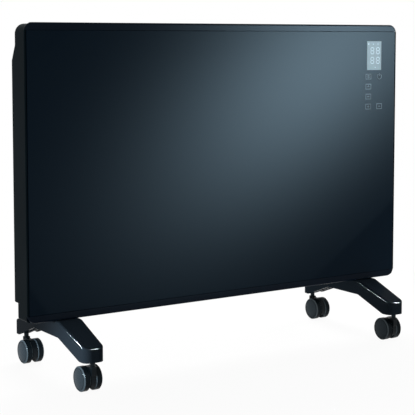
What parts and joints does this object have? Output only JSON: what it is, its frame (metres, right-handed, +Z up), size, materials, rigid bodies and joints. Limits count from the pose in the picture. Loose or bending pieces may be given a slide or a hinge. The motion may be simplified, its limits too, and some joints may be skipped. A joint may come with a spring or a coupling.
{
  "type": "glass panel heater",
  "caption": "Free-standing convector heater with a flat black glass front, a display and touch keys, a vented steel back and arched feet on twin-wheel castors.",
  "frame": {"origin": "on the floor, midway between the feet and halfway along them", "axes": "+X to the right as seen from the front, +Y to the back, +Z up; the glass faces -Y"},
  "size_m": [0.76, 0.256, 0.572],
  "materials": {
    "black_glass": "toughened glass, black printed on the back, gloss",
    "bonding_tape": "black foam tape",
    "rail_coating": "aluminium strip, satin black coating",
    "casing_coating": "folded steel, black powder coat, semi-gloss",
    "cover_coating": "pressed steel, black powder coat, satin",
    "black_screw": "blackened steel",
    "element_aluminium": "extruded aluminium",
    "core_ceramic": "insulated heating rod",
    "plain_steel": "zinc-coated sheet",
    "shield_aluminium": "aluminised sheet",
    "cutout_phenolic": "phenolic moulding",
    "display_lcd": "liquid-crystal display, grey-green",
    "pad_rubber": "conductive rubber",
    "circuit_board": "fibreglass board, green mask",
    "post_nylon": "natural nylon",
    "guard_plastic": "flame-resistant moulding",
    "switch_plastic": "black moulding",
    "rocker_plastic": "black moulding",
    "foot_plastic": "injection-moulded, satin black",
    "zinc_steel": "zinc-plated steel",
    "hood_plastic": "injection-moulded nylon, black",
    "wheel_plastic": "injection-moulded nylon, black"
  },
  "bodies": {
    "heater": {"glass_panel": "black_glass", "glass_tape": "bonding_tape", "top_rail": "rail_coating", "bottom_rail": "rail_coating", "casing": "casing_coating", "rear_cover": "cover_coating", "cover_screws": "black_screw", "heating_element": "element_aluminium", "element_core": "core_ceramic", "element_bracket_left": "plain_steel", "element_bracket_right": "plain_steel", "heat_shield": "shield_aluminium", "divider_wall": "plain_steel", "thermal_cutout": "cutout_phenolic", "display_module": "display_lcd", "touch_pads": "pad_rubber", "control_board": "circuit_board", "control_posts": "post_nylon", "control_cover": "guard_plastic", "power_board": "circuit_board", "power_posts": "post_nylon", "tip_over_switch": "guard_plastic", "room_sensor": "guard_plastic", "terminal_block": "post_nylon", "cable_gland": "switch_plastic", "gland_nut": "switch_plastic", "switch_housing": "switch_plastic", "foot_left": "foot_plastic", "foot_right": "foot_plastic", "foot_screws": "zinc_steel", "foot_nuts": "zinc_steel", "castor_stem_front_left": "zinc_steel", "castor_stem_front_right": "zinc_steel", "castor_stem_rear_left": "zinc_steel", "castor_stem_rear_right": "zinc_steel"},
    "front_left_castor": {"castor_hood_front_left": "hood_plastic", "castor_axle_front_left": "zinc_steel"},
    "front_left_outer_wheel": {"wheel_front_left_outer": "wheel_plastic"},
    "front_left_inner_wheel": {"wheel_front_left_inner": "wheel_plastic"},
    "front_right_castor": {"castor_hood_front_right": "hood_plastic", "castor_axle_front_right": "zinc_steel"},
    "front_right_outer_wheel": {"wheel_front_right_outer": "wheel_plastic"},
    "front_right_inner_wheel": {"wheel_front_right_inner": "wheel_plastic"},
    "rear_left_castor": {"castor_hood_rear_left": "hood_plastic", "castor_axle_rear_left": "zinc_steel"},
    "rear_left_outer_wheel": {"wheel_rear_left_outer": "wheel_plastic"},
    "rear_left_inner_wheel": {"wheel_rear_left_inner": "wheel_plastic"},
    "rear_right_castor": {"castor_hood_rear_right": "hood_plastic", "castor_axle_rear_right": "zinc_steel"},
    "rear_right_outer_wheel": {"wheel_rear_right_outer": "wheel_plastic"},
    "rear_right_inner_wheel": {"wheel_rear_right_inner": "wheel_plastic"},
    "main_rocker": {"power_rocker": "rocker_plastic"}
  },
  "joints": [
    {"name": "front_left_swivel", "type": "hinge", "parent": "heater", "child": "front_left_castor", "pos_m": [-0.309, -0.1185, 0.04], "axis": [0, 0, 1], "continuous": true},
    {"name": "front_left_outer_roll", "type": "hinge", "parent": "front_left_castor", "child": "front_left_outer_wheel", "pos_m": [-0.309, -0.1025, 0.02], "axis": [1, 0, 0], "continuous": true},
    {"name": "front_left_inner_roll", "type": "hinge", "parent": "front_left_castor", "child": "front_left_inner_wheel", "pos_m": [-0.309, -0.1025, 0.02], "axis": [1, 0, 0], "continuous": true},
    {"name": "front_right_swivel", "type": "hinge", "parent": "heater", "child": "front_right_castor", "pos_m": [0.309, -0.1185, 0.04], "axis": [0, 0, 1], "continuous": true},
    {"name": "front_right_outer_roll", "type": "hinge", "parent": "front_right_castor", "child": "front_right_outer_wheel", "pos_m": [0.309, -0.1025, 0.02], "axis": [1, 0, 0], "continuous": true},
    {"name": "front_right_inner_roll", "type": "hinge", "parent": "front_right_castor", "child": "front_right_inner_wheel", "pos_m": [0.309, -0.1025, 0.02], "axis": [1, 0, 0], "continuous": true},
    {"name": "rear_left_swivel", "type": "hinge", "parent": "heater", "child": "rear_left_castor", "pos_m": [-0.309, 0.1185, 0.04], "axis": [0, 0, 1], "continuous": true},
    {"name": "rear_left_outer_roll", "type": "hinge", "parent": "rear_left_castor", "child": "rear_left_outer_wheel", "pos_m": [-0.309, 0.1025, 0.02], "axis": [1, 0, 0], "continuous": true},
    {"name": "rear_left_inner_roll", "type": "hinge", "parent": "rear_left_castor", "child": "rear_left_inner_wheel", "pos_m": [-0.309, 0.1025, 0.02], "axis": [1, 0, 0], "continuous": true},
    {"name": "rear_right_swivel", "type": "hinge", "parent": "heater", "child": "rear_right_castor", "pos_m": [0.309, 0.1185, 0.04], "axis": [0, 0, 1], "continuous": true},
    {"name": "rear_right_outer_roll", "type": "hinge", "parent": "rear_right_castor", "child": "rear_right_outer_wheel", "pos_m": [0.309, 0.1025, 0.02], "axis": [1, 0, 0], "continuous": true},
    {"name": "rear_right_inner_roll", "type": "hinge", "parent": "rear_right_castor", "child": "rear_right_inner_wheel", "pos_m": [0.309, 0.1025, 0.02], "axis": [1, 0, 0], "continuous": true},
    {"name": "main_switch", "type": "hinge", "parent": "heater", "child": "main_rocker", "pos_m": [0.298, 0.0091, 0.26], "axis": [1, 0, 0], "range_deg": [0, 16]}
  ]
}
